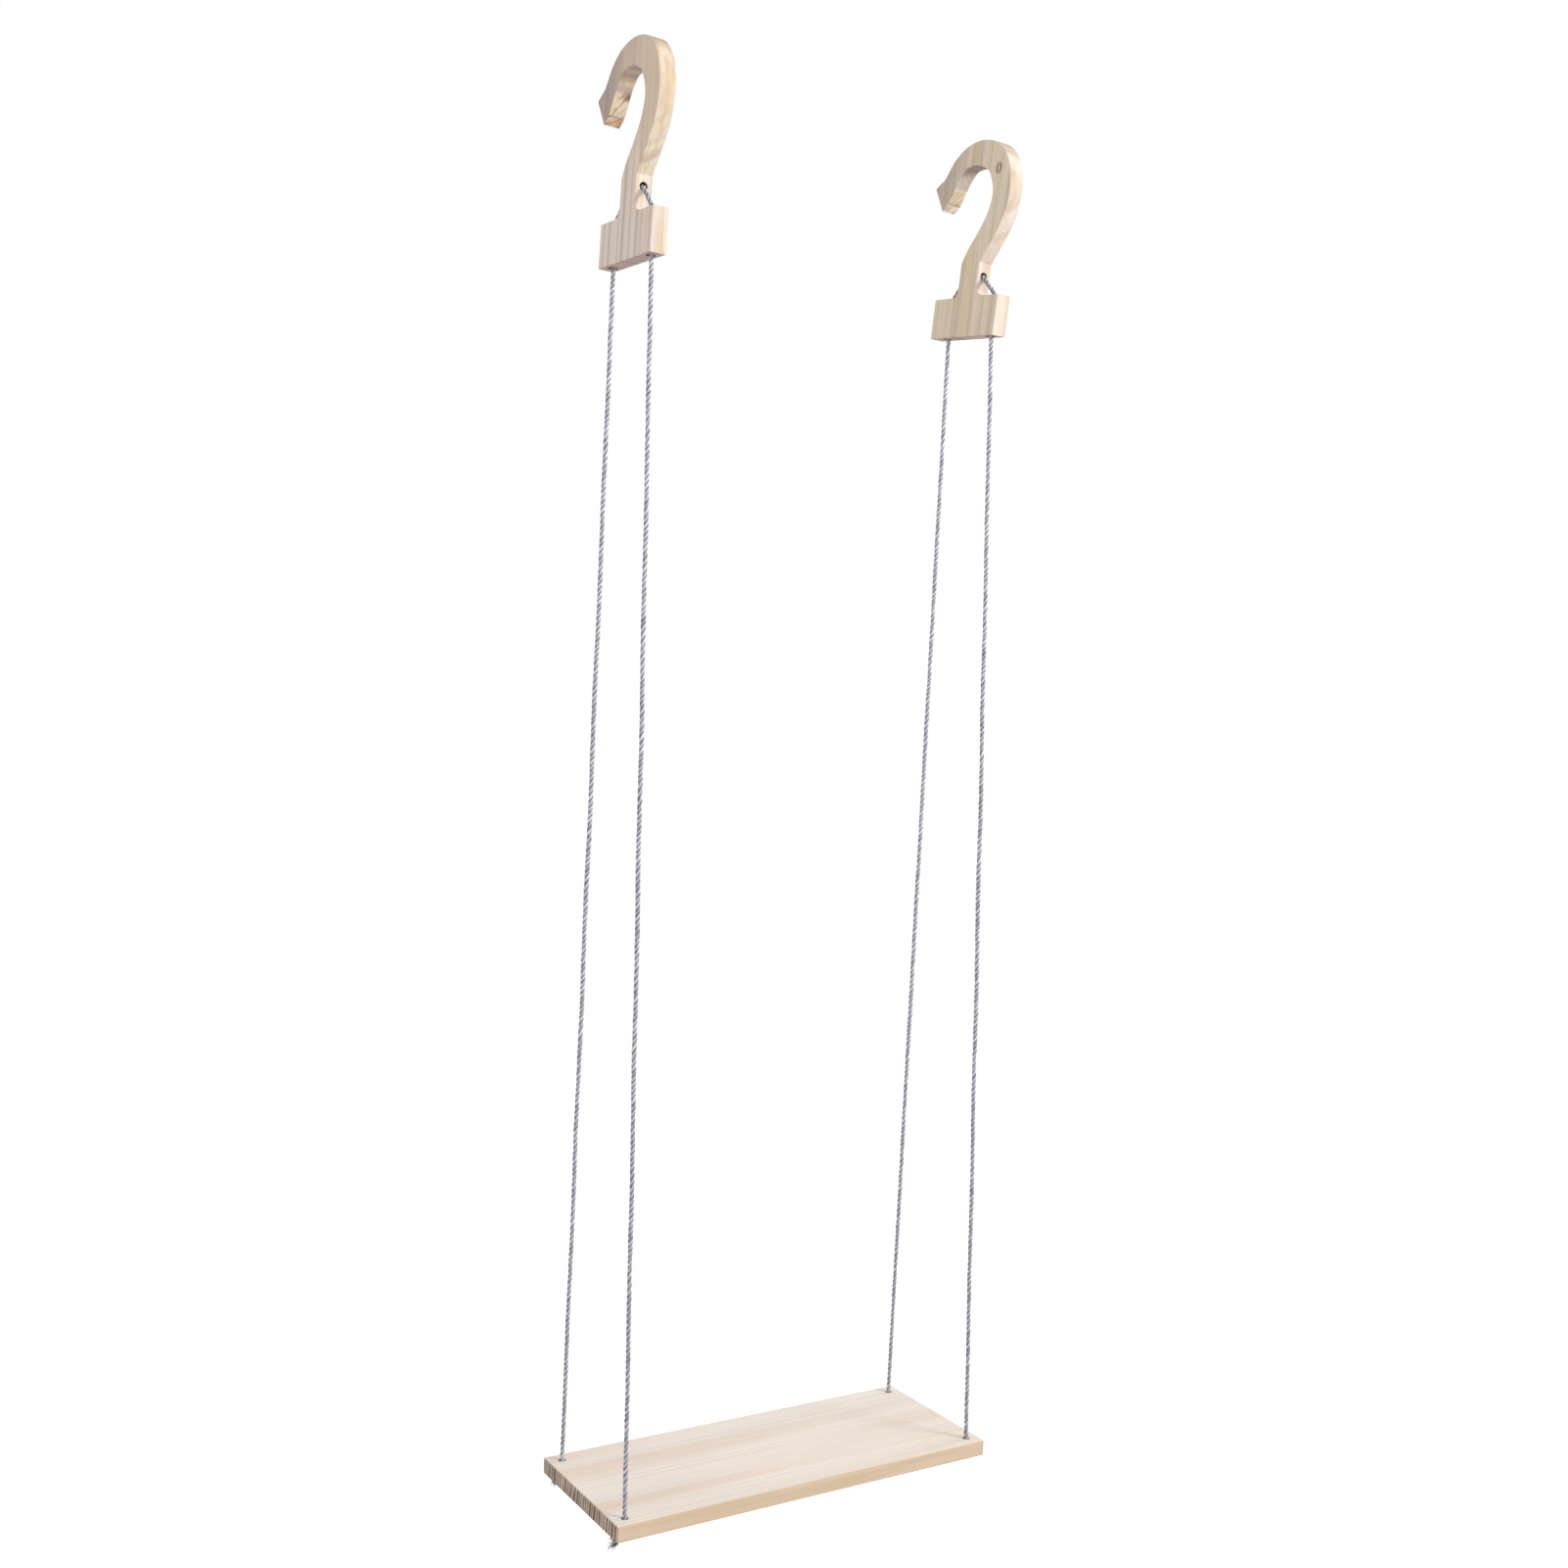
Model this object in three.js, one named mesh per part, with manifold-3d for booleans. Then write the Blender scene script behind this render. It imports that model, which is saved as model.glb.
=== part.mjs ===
// Hanging rope shelf: a pine board slung from two wooden hooks by two ropes.
//
// Each hook is sawn in one piece, a question mark standing on a block. Its rope starts in a knot
// under one corner of the board, climbs to the block, crosses the stem through a hole, and comes
// down to a knot under the other corner at the same end of the board.
//
// Millimetres. X runs along the board to the right, Y runs to the back and Z is up. The origin is on
// the rail line that both hooks hang from, midway between them.

import * as THREE from 'three';
import { mergeVertices } from 'three/addons/utils/BufferGeometryUtils.js';
import Module from 'manifold-3d';

// Board
const BOARD_LENGTH = 400;
const BOARD_DEPTH = 160;
const BOARD_THICKNESS = 15;
const BOARD_CORNER_RADIUS = 1.5;
const BOARD_HOLE = 6;
const HOLE_INSET = 13;
const RAIL_TO_BOARD = 1250;

// Hooks
const HOOK_THICKNESS = 16;
const HOOK_HEIGHT = 185;
const TIP_REACH = 74.7;
const BLOCK_WIDTH = 102;
const BLOCK_HEIGHT = 38;
const STEM_WIDTH = 29;
const STEM_TOP = 70;
const STEM_FILLET = 8;
const BORE = 8;
const CROSS_HOLE = 7;

// The hooks are drilled by hand, so each hole has its own place: a bore lies so far to the front or
// the back of the stem's middle, and a cross hole so far above the block's underside.
const LEFT_FRONT_BORE = 37;
const LEFT_BACK_BORE = 38;
const LEFT_CROSS_HOLE = 60.5;
const RIGHT_FRONT_BORE = 38;
const RIGHT_BACK_BORE = 32;
const RIGHT_CROSS_HOLE = 57.5;

// How far each hook leans to the front on the rail, in degrees.
const LEFT_LEAN = 4.7;
const RIGHT_LEAN = 8.6;

// Shared by board and hooks
const EDGE_EASE = 0.7;
const LIP_CHAMFER = 0.8;

// Ropes
const ROPE_DIAMETER = 4;
const REST_GAP = 0.3;
const BEND_RADIUS = 8;
const CROSSING_BEND_INSET = 4.2;
const BORE_BEND_INSET = 2;
const TOP_PIVOT_DROP = 3.5;
const BOARD_PIVOT_DEPTH = 1.5;

// Knots, each let into a pocket in the board's underside
const KNOT_POCKET_DIAMETER = 12;
const KNOT_POCKET_DEPTH = 5;
const KNOT_TURNS = 1.3;
const KNOT_WRAP_RADIUS = 2.8;
const KNOT_PITCH = 2.7;
const KNOT_HEART_DIAMETER = 5;
const TAIL_REACH = 6;
const TAIL_DROP = 2.2;
const FRAY_REACH = 12;
const FRAY_SPREAD = 3;
const FRAY_DIAMETER = 1.8;
const FRAY_STRANDS = 3;
const LEFT_TAIL_TURN = 0;
const RIGHT_TAIL_TURN = -90;

// Facets
const ROPE_SIDES = 10;
const ROPE_CAP_RINGS = 3;
const KNOT_CAP_RINGS = 1;
const HOLE_SIDES = 20;
const LOOP_STEPS = 44;
const CURVE_STEPS = 5;
const CORNER_STEPS = 2;
const FILLET_STEPS = 5;
const BEND_POINTS = 4;
const KNOT_STEPS_PER_TURN = 7;
const KNOT_SIDES = 6;

// The arm of the hook above its stem. Across, a point is a share of the tip's reach from the stem's
// middle, and up it is a share of the way from the top of the straight stem to the top of the hook.
const OUTER_SHARES = [
    [-0.402, 0.17],
    [-0.569, 0.339],
    [-0.643, 0.548],
    [-0.549, 0.783],
    [-0.308, 0.939],
    [0.04, 1],
    [0.375, 0.974],
    [0.616, 0.887],
    [0.763, 0.778],
];
const FLARE_SHARE = [0.803, 0.743];
const TIP_SHARES = [
    [1, 0.671],
    [0.793, 0.473],
    [0.673, 0.527],
];
const INNER_SHARES = [
    [0.589, 0.613],
    [0.497, 0.703],
    [0.42, 0.759],
    [0.335, 0.793],
    [0.194, 0.801],
    [0.053, 0.793],
    [-0.067, 0.763],
    [-0.167, 0.719],
    [-0.28, 0.574],
    [-0.248, 0.422],
    [-0.1, 0.265],
    [0.074, 0.13],
    [0.161, 0.043],
];

const BOARD_PINE = 0xe6cfae;
const HOOK_PINE = 0xdfc39c;
const ROPE_GREY = 0x8f8f9b;
const SANDED = 0.6;
const FIBROUS = 0.9;

const wasm = await Module();
wasm.setup();

const ropeRadius = ROPE_DIAMETER / 2;
const ropeSeat = ropeRadius + REST_GAP;
const { degToRad } = THREE.MathUtils;
const hookSides = [
    {
        name: 'left',
        sign: -1,
        lean: LEFT_LEAN,
        bores: { front: LEFT_FRONT_BORE, back: LEFT_BACK_BORE },
        crossHole: LEFT_CROSS_HOLE,
        tailTurn: LEFT_TAIL_TURN,
    },
    {
        name: 'right',
        sign: 1,
        lean: RIGHT_LEAN,
        bores: { front: RIGHT_FRONT_BORE, back: RIGHT_BACK_BORE },
        crossHole: RIGHT_CROSS_HOLE,
        tailTurn: RIGHT_TAIL_TURN,
    },
];
const ends = [
    { name: 'front', sign: -1 },
    { name: 'back', sign: 1 },
];

// A closed geometry as a manifold solid.
function toSolid(geometry) {
    const bare = geometry.clone();
    bare.deleteAttribute('normal');
    bare.deleteAttribute('uv');
    const merged = mergeVertices(bare);
    return new wasm.Manifold(new wasm.Mesh({
        numProp: 3,
        vertProperties: new Float32Array(merged.attributes.position.array),
        triVerts: new Uint32Array(merged.index.array),
    }));
}

// A manifold solid as a geometry.
function toGeometry(solid) {
    const mesh = solid.getMesh();
    const geometry = new THREE.BufferGeometry();
    geometry.setAttribute('position', new THREE.BufferAttribute(new Float32Array(mesh.vertProperties), 3));
    geometry.setIndex(new THREE.BufferAttribute(new Uint32Array(mesh.triVerts), 1));
    geometry.computeVertexNormals();
    return geometry;
}

function subtractAll(geometry, cutters) {
    return toGeometry(cutters.reduce((solid, cutter) => solid.subtract(toSolid(cutter)), toSolid(geometry)));
}

function joinAll(geometries) {
    return toGeometry(geometries.map(toSolid).reduce((whole, piece) => whole.add(piece)));
}

// A round rod from one point to another, with domed ends centred on the two points.
function domedRod(from, to, diameter, sides, capRings) {
    const along = to.clone().sub(from);
    const rod = new THREE.CapsuleGeometry(diameter / 2, along.length(), capRings, sides);
    rod.applyQuaternion(new THREE.Quaternion().setFromUnitVectors(
        new THREE.Vector3(0, 1, 0), along.clone().normalize()));
    const middle = from.clone().add(to).divideScalar(2);
    rod.translate(middle.x, middle.y, middle.z);
    return rod;
}

// A drill along Y for a hole right through a piece, centred on the origin, with chamfered mouths.
function chamferedDrill(diameter, depth) {
    const overrun = LIP_CHAMFER;
    const [radius, reach] = [diameter / 2, depth / 2];
    return new THREE.LatheGeometry([
        new THREE.Vector2(0, -reach - overrun),
        new THREE.Vector2(radius + LIP_CHAMFER + overrun, -reach - overrun),
        new THREE.Vector2(radius, LIP_CHAMFER - reach),
        new THREE.Vector2(radius, reach - LIP_CHAMFER),
        new THREE.Vector2(radius + LIP_CHAMFER + overrun, reach + overrun),
        new THREE.Vector2(0, reach + overrun),
    ], HOLE_SIDES);
}

// A drill along Y for a flat-bottomed pocket with a chamfered lip, from a face at the origin upwards.
function pocketDrill(diameter, depth) {
    const overrun = LIP_CHAMFER;
    const radius = diameter / 2;
    return new THREE.LatheGeometry([
        new THREE.Vector2(0, -overrun),
        new THREE.Vector2(radius + LIP_CHAMFER + overrun, -overrun),
        new THREE.Vector2(radius, LIP_CHAMFER),
        new THREE.Vector2(radius, depth),
        new THREE.Vector2(0, depth),
    ], HOLE_SIDES);
}

// A flat plate cut to an outline in its own XY plane, centred on Z = 0, with its edges eased.
function easedPlate(outline, thickness) {
    const plate = new THREE.ExtrudeGeometry(outline, {
        depth: thickness - 2 * EDGE_EASE,
        bevelThickness: EDGE_EASE,
        bevelSize: EDGE_EASE,
        bevelOffset: -EDGE_EASE,
        bevelSegments: 1,
        curveSegments: CORNER_STEPS,
    });
    plate.translate(0, 0, EDGE_EASE - thickness / 2);
    return plate;
}

// Where a hole stands in the board, under the hook at that side.
function holeX(side) {
    return side.sign * (BOARD_LENGTH / 2 - HOLE_INSET);
}

function holeY(end) {
    return end.sign * (BOARD_DEPTH / 2 - HOLE_INSET);
}

// Where a bore stands across the block. Its rope enters against the side nearest to the stem, and
// leaves against the front side, because the hook leans.
function borePlace(side, end) {
    return end.sign * side.bores[end.name];
}

const boreSlack = BORE / 2 - ropeSeat;

function ropeInPlace(side, end) {
    return borePlace(side, end) - end.sign * boreSlack;
}

function ropeOutPlace(side, end) {
    return borePlace(side, end) - boreSlack;
}

// Hook

// In the hook's own frame X runs across it to the back, Y is up from the middle of the block's
// underside, and the stem stands on the middle of the block.
function armPoint([across, up]) {
    return new THREE.Vector2(across * TIP_REACH, STEM_TOP + up * (HOOK_HEIGHT - STEM_TOP));
}

const stemEdge = STEM_WIDTH / 2;
const innerCurve = new THREE.SplineCurve([
    armPoint(TIP_SHARES.at(-1)),
    ...INNER_SHARES.map(armPoint),
    new THREE.Vector2(stemEdge, STEM_TOP),
]);
const outerCurve = new THREE.SplineCurve([
    new THREE.Vector2(-stemEdge, STEM_TOP),
    ...OUTER_SHARES.map(armPoint),
    armPoint(FLARE_SHARE),
]);

// The curve as straight steps, with a corner on each of its own points.
function curvePoints(curve) {
    return curve.getPoints((curve.points.length - 1) * CURVE_STEPS);
}

// A quarter-round fillet where the stem meets the block's top, from the block to the stem.
function stemFillet(side) {
    const centre = new THREE.Vector2(side * (stemEdge + STEM_FILLET), BLOCK_HEIGHT + STEM_FILLET);
    return Array.from({ length: FILLET_STEPS + 1 }, (_, step) => {
        const turn = Math.PI / 2 * step / FILLET_STEPS;
        return new THREE.Vector2(
            centre.x - side * STEM_FILLET * Math.sin(turn),
            centre.y - STEM_FILLET * Math.cos(turn));
    });
}

function hookOutline() {
    const halfBlock = BLOCK_WIDTH / 2;
    return new THREE.Shape([
        new THREE.Vector2(halfBlock, 0),
        new THREE.Vector2(halfBlock, BLOCK_HEIGHT),
        ...stemFillet(1),
        ...curvePoints(innerCurve).reverse(),
        ...TIP_SHARES.slice(0, -1).reverse().map(armPoint),
        ...curvePoints(outerCurve).reverse(),
        ...stemFillet(-1).reverse(),
        new THREE.Vector2(-halfBlock, BLOCK_HEIGHT),
        new THREE.Vector2(-halfBlock, 0),
    ]);
}

// The top of the inner arch, where the rail bears.
const saddle = curvePoints(innerCurve).reduce((best, point) => (point.y > best.y ? point : best));

// Turns a geometry from the hook's own frame to the hung one, which has the saddle at its origin,
// Y across to the back and Z up.
function hangUp(geometry) {
    geometry.translate(-saddle.x, -saddle.y, 0);
    geometry.rotateX(Math.PI / 2);
    geometry.rotateZ(Math.PI / 2);
    return geometry;
}

function hookGeometry(side) {
    const bores = ends.map((end) => (
        chamferedDrill(BORE, BLOCK_HEIGHT).translate(borePlace(side, end), BLOCK_HEIGHT / 2, 0)));
    const crossHole = chamferedDrill(CROSS_HOLE, STEM_WIDTH);
    crossHole.rotateZ(Math.PI / 2);
    crossHole.translate(0, side.crossHole, 0);
    const hook = subtractAll(easedPlate(hookOutline(), HOOK_THICKNESS), [...bores, crossHole]);
    return hangUp(hook);
}

// Board

function boardGeometry() {
    const [halfLength, halfDepth, round] = [BOARD_LENGTH / 2, BOARD_DEPTH / 2, BOARD_CORNER_RADIUS];
    const outline = new THREE.Shape();
    outline.moveTo(-halfLength + round, -halfDepth);
    outline.absarc(halfLength - round, -halfDepth + round, round, -Math.PI / 2, 0);
    outline.absarc(halfLength - round, halfDepth - round, round, 0, Math.PI / 2);
    outline.absarc(-halfLength + round, halfDepth - round, round, Math.PI / 2, Math.PI);
    outline.absarc(-halfLength + round, -halfDepth + round, round, Math.PI, 1.5 * Math.PI);
    const pocket = pocketDrill(KNOT_POCKET_DIAMETER, KNOT_POCKET_DEPTH).translate(0, -BOARD_THICKNESS / 2, 0);
    const drills = hookSides.flatMap((side) => ends.flatMap((end) => (
        [chamferedDrill(BOARD_HOLE, BOARD_THICKNESS), pocket.clone()].map((drill) => (
            drill.rotateX(Math.PI / 2).translate(holeX(side), holeY(end), 0))))));
    return subtractAll(easedPlate(outline, BOARD_THICKNESS), drills);
}

// Rope falls

// A point of the hook's own frame, once the hook hangs leaning on the rail.
function hungPoint(side, point) {
    const hung = new THREE.Vector3(0, point.x - saddle.x, point.y - saddle.y);
    hung.applyAxisAngle(new THREE.Vector3(1, 0, 0), degToRad(side.lean));
    return hung.setX(holeX(side));
}

// The same, the other way about.
function ownPoint(side, hung) {
    const upright = hung.clone().applyAxisAngle(new THREE.Vector3(1, 0, 0), -degToRad(side.lean));
    return new THREE.Vector3(upright.y + saddle.x, upright.z + saddle.y, 0);
}

function boreMouth(side, end) {
    return hungPoint(side, new THREE.Vector2(ropeOutPlace(side, end), 0));
}

// Every fall bends at one level under the blocks, and at one level just inside the board.
const topPivotLevel = Math.min(...hookSides.flatMap((side) => (
    ends.map((end) => boreMouth(side, end).z)))) - TOP_PIVOT_DROP;
const boardPivotLevel = -RAIL_TO_BOARD - BOARD_PIVOT_DEPTH;

function fallPivots(side, end) {
    const mouth = boreMouth(side, end);
    const bottom = new THREE.Vector3(holeX(side), holeY(end), boardPivotLevel);
    const top = mouth.clone().lerp(bottom, (mouth.z - topPivotLevel) / (mouth.z - bottom.z));
    return { top, bottom };
}

function fallGeometry(side, end) {
    const { top, bottom } = fallPivots(side, end);
    return domedRod(top, bottom, ROPE_DIAMETER, ROPE_SIDES, ROPE_CAP_RINGS);
}

// Rope loops

// The route in the hook's own frame from the middle of the stem to one fall: along the cross hole, over
// its lip, down a slant, round into the bore and down to its mouth.
function halfLoopRoute(side, end) {
    const lipCentre = new THREE.Vector2(stemEdge - CROSSING_BEND_INSET, side.crossHole - BEND_RADIUS);
    const boreCentre = new THREE.Vector2(
        end.sign * ropeInPlace(side, end) - BEND_RADIUS, BLOCK_HEIGHT - BORE_BEND_INSET);
    const slant = Math.atan2(lipCentre.y - boreCentre.y, boreCentre.x - lipCentre.x);
    const bend = (centre, from, to) => Array.from({ length: BEND_POINTS + 1 }, (_, step) => {
        const turn = from + (to - from) * step / BEND_POINTS;
        return new THREE.Vector3(
            end.sign * (centre.x + BEND_RADIUS * Math.sin(turn)), centre.y + BEND_RADIUS * Math.cos(turn), 0);
    });
    const { top, bottom } = fallPivots(side, end);
    const upward = top.clone().sub(bottom).setLength(ropeSeat);
    return [
        ...bend(lipCentre, 0, slant),
        ...bend(boreCentre, slant, Math.PI / 2),
        new THREE.Vector3(ropeOutPlace(side, end), 0, 0),
        ownPoint(side, top.add(upward)),
    ];
}

function loopGeometry(side) {
    const [front, back] = ends.map((end) => halfLoopRoute(side, end));
    const route = new THREE.CatmullRomCurve3([...front.reverse(), ...back]);
    const section = new THREE.Shape();
    section.absarc(0, 0, ropeRadius, 0, 2 * Math.PI);
    return hangUp(new THREE.ExtrudeGeometry(section, {
        steps: LOOP_STEPS,
        extrudePath: route,
        curveSegments: ROPE_SIDES / 2,
    }));
}

// Knots

// The rope from its bend inside the board down through the hole, wound round itself against the
// pocket's floor, with a tail that turns aside under the board and frays out. The origin is on the
// underside, at the hole.
function knotGeometry() {
    const top = BOARD_THICKNESS - BOARD_PIVOT_DEPTH - ropeSeat;
    const wrapTop = KNOT_POCKET_DEPTH - ropeSeat;
    const wrapBottom = wrapTop - KNOT_TURNS * KNOT_PITCH;
    const rod = (from, to, diameter) => domedRod(from, to, diameter, KNOT_SIDES, KNOT_CAP_RINGS);
    const onAxis = (level) => new THREE.Vector3(0, 0, level);
    const tailEnd = new THREE.Vector3(-TAIL_REACH, 0, wrapBottom - TAIL_DROP);
    const core = rod(onAxis(top - ropeRadius), onAxis(wrapBottom), ROPE_DIAMETER);
    const heart = rod(onAxis(wrapTop), onAxis(wrapBottom), KNOT_HEART_DIAMETER);
    const tail = rod(onAxis(wrapBottom), tailEnd, ROPE_DIAMETER);
    const wrapPoint = (step) => {
        const turn = 2 * Math.PI * step / KNOT_STEPS_PER_TURN;
        return new THREE.Vector3(
            KNOT_WRAP_RADIUS * Math.cos(turn),
            KNOT_WRAP_RADIUS * Math.sin(turn),
            wrapTop - KNOT_PITCH * step / KNOT_STEPS_PER_TURN);
    };
    const wraps = Array.from({ length: Math.round(KNOT_TURNS * KNOT_STEPS_PER_TURN) }, (_, step) => (
        rod(wrapPoint(step), wrapPoint(step + 1), ROPE_DIAMETER)));
    const frays = Array.from({ length: FRAY_STRANDS }, (_, strand) => {
        const turn = 2 * Math.PI * strand / FRAY_STRANDS;
        const tip = new THREE.Vector3(
            -FRAY_REACH, FRAY_SPREAD * Math.sin(turn), tailEnd.z - FRAY_SPREAD * Math.cos(turn));
        return rod(tailEnd, tip, FRAY_DIAMETER);
    });
    return joinAll([core, heart, tail, ...wraps, ...frays]);
}

// Assembly

function material(color, roughness) {
    return new THREE.MeshStandardMaterial({ color, roughness, metalness: 0 });
}

const shelf = new THREE.Group();

function addPart(name, geometry, finish) {
    const mesh = new THREE.Mesh(geometry, finish);
    mesh.name = name;
    shelf.add(mesh);
    return mesh;
}

const board = addPart('shelf_board', boardGeometry(), material(BOARD_PINE, SANDED));
board.position.z = -RAIL_TO_BOARD - BOARD_THICKNESS / 2;

for (const side of hookSides) {
    const hook = addPart(`${side.name}_hook`, hookGeometry(side), material(HOOK_PINE, SANDED));
    const loop = addPart(`${side.name}_rope_loop`, loopGeometry(side), material(ROPE_GREY, FIBROUS));
    for (const hung of [hook, loop]) {
        hung.position.x = holeX(side);
        hung.rotation.x = degToRad(side.lean);
    }
    for (const end of ends) {
        addPart(`${side.name}_${end.name}_fall`, fallGeometry(side, end), material(ROPE_GREY, FIBROUS));
        const knot = addPart(`${side.name}_${end.name}_knot`, knotGeometry(), material(ROPE_GREY, FIBROUS));
        knot.position.set(holeX(side), holeY(end), -RAIL_TO_BOARD - BOARD_THICKNESS);
        knot.rotation.z = degToRad(side.tailTurn);
    }
}

export default shelf;
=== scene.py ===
# Hanging rope shelf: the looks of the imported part.
#
# Metres, apart from the figure of the wood and the rope, which is in millimetres. X runs along the
# board to the right, Y runs to the back and Z is up. The origin is on the rail line that both hooks
# hang from, midway between them.

import math

import bmesh
import bpy
import numpy as np
from mathutils import Matrix, Vector


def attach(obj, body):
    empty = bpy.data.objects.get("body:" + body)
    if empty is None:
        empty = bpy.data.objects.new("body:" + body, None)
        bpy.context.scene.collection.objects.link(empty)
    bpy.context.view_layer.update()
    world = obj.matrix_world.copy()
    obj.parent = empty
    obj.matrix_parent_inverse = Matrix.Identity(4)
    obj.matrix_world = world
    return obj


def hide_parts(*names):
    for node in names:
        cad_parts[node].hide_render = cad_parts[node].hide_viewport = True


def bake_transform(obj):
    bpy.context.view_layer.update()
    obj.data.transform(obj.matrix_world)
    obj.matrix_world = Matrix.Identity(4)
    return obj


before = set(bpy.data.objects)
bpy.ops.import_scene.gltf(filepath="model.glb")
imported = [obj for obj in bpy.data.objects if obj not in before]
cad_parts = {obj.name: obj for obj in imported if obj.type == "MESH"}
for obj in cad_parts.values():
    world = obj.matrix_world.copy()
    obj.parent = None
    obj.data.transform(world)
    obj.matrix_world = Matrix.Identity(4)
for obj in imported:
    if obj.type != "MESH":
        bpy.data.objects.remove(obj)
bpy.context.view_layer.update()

MM = 0.001

# The part's sizes, as its source has them
BOARD_LENGTH = 400 * MM
BOARD_DEPTH = 160 * MM
BOARD_THICKNESS = 15 * MM
HOLE_INSET = 13 * MM
RAIL_TO_BOARD = 1250 * MM
BLOCK_HEIGHT = 38 * MM
STEM_WIDTH = 29 * MM
BORE = 8 * MM
SADDLE_ACROSS = 14.492 * MM
SADDLE_UP = 162.115 * MM
ROPE_DIAMETER = 4 * MM
REST_GAP = 0.3 * MM
BEND_RADIUS = 8 * MM
CROSSING_BEND_INSET = 4.2 * MM
BORE_BEND_INSET = 2 * MM
TOP_PIVOT_DROP = 3.5 * MM
BOARD_PIVOT_DEPTH = 1.5 * MM
KNOT_POCKET_DEPTH = 5 * MM
SIDES = {
    "left": {
        "sign": -1,
        "lean": math.radians(4.7),
        "bores": {"front": 37 * MM, "back": 38 * MM},
        "cross_hole": 60.5 * MM,
        "tail_turn": math.radians(180),
        "fray": {"front": 12 * MM, "back": 6 * MM},
    },
    "right": {
        "sign": 1,
        "lean": math.radians(8.6),
        "bores": {"front": 38 * MM, "back": 32 * MM},
        "cross_hole": 57.5 * MM,
        "tail_turn": math.radians(90),
        "fray": {"front": 8 * MM, "back": 8 * MM},
    },
}
ENDS = {"front": -1, "back": 1}

# Camera, as fitted to the photograph
CAMERA_PLACE = (-0.8186, -1.31872, -0.5886)
CAMERA_HEADING = math.radians(-32.36)
CAMERA_TILT = math.radians(-3.389)
CAMERA_ROLL = math.radians(2.212)
CAMERA_LENS = 37.795
CAMERA_SHIFT = (-0.01472, 0.04873)
CAMERA_CLIP = (0.05, 60)

# Rope: three strands laid to the right. Their crowns stand proud of the rope's mean diameter.
STRANDS = 3
LAY_LENGTH = 16.0 * MM
STRAND_SHARE = 0.56
CROWN_DIAMETER = 4.5 * MM
SECTION_POINTS = 21
BEND_POINTS = 7
RING_STEP = 1.0 * MM
SMOOTH_STEP = 0.5 * MM
SMOOTH_PASSES = 8

# Slow waves in the falls, as wave length and height, and slow changes of the lay and of the girth
SWAYS = {190 * MM: 0.26 * MM, 83 * MM: 0.12 * MM, 31 * MM: 0.08 * MM, 13 * MM: 0.06 * MM}
LAY_DRIFT = 0.8
SWELL = 0.045
SWELL_STEP = 22 * MM
SWELL_LIMITS = (-2, 1.5)

# Loose fibres: each leaves the rope from inside its crowns, bends in the middle and leans at random
LINT_PER_METRE = 4200
LINT_LENGTH = 1.1 * MM
LINT_WIDTH = 0.055 * MM
LINT_ROOT_SHARE = 0.42
LINT_REACH_SHARES = (0.3, 1.0)
LINT_LEAN = 0.8
LINT_MIDDLE_SHARES = {"out": 0.55, "lean": 0.35}
LINT_TIP_SHARES = {"out": 0.25, "lean": 0.75}
LINT_LAST_SHARE = 0.6
LINT_CROWN = 0.9

# A tightened overhand knot as a line through its turns, in its own rope's diameters, with the rope
# coming in from above and the tail going out sideways
KNOT_ROPE = 3.3 * MM
KNOT_LAY_DRIFT = 0.1
KNOT_SMOOTH_PASSES = 10
KNOT_SQUASH = 0.8
KNOT_MIDDLE_DROP = 4.9 * MM
KNOT_LEAD = 2 * MM
KNOT_TURNS = [
    (0.00, 0.00, 1.37), (0.05, -0.07, 0.77), (0.35, -0.28, 0.31), (0.47, -0.71, -0.07),
    (0.24, -1.04, -0.51), (-0.21, -1.08, -0.90), (-0.69, -0.81, -1.12), (-1.02, -0.32, -1.13),
    (-1.04, 0.24, -0.95), (-0.80, 0.66, -0.62), (-0.36, 0.80, -0.24), (0.13, 0.80, 0.11),
    (0.60, 0.74, 0.47), (0.93, 0.41, 0.84), (1.00, -0.13, 1.07), (0.77, -0.67, 1.13),
    (0.32, -1.02, 0.98), (-0.16, -1.09, 0.64), (-0.49, -0.85, 0.21), (-0.50, -0.42, -0.20),
    (-0.18, -0.12, -0.60), (0.10, -0.02, -1.05), (0.55, -0.05, -1.45), (1.15, -0.05, -1.65),
    (1.75, 0.00, -1.65),
]

# Frayed tails: the yarns of each strand leave the tail's end, spread and droop
FRAY_YARNS = 12
YARN_DIAMETER = 0.62 * MM
YARN_END_RADIUS = YARN_DIAMETER / 5
YARN_SIDES = 5
YARN_POINTS = 7
YARN_ROOT_BACK = 1.2 * MM
YARN_ROOT_SHARE = 0.22
YARN_ROOT_SCATTER = 0.35 * MM
YARN_SPREAD_SHARES = (0.1, 1.1)
YARN_SCATTER = 0.4
YARN_DROP_SHARES = (0.0, 1.2)
YARN_REACH_SHARES = (0.45, 1.0)
YARN_OPENING = 0.6
YARN_CURL = 0.3
YARN_DROOP = 0.55
# The yarns take mostly the painted shade colour of the valleys
YARN_CROWN = 0.3

# Arrises of the wood
MERGE_DISTANCE = 0.002 * MM
FLAT_ANGLE = math.radians(0.5)
ARRIS_WIDTH = 0.3 * MM
ARRIS_STEPS = 2
ARRIS_ANGLE = math.radians(25)
FLATS_WEIGHT = 100

# Colours are written in the 0 to 255 of a picture, and tints as shares of the colour under them.
# A span is a low and a high value of what drives it, then the amounts there. Those that it leaves
# out are 0 and 1, or a look's own.

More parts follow.
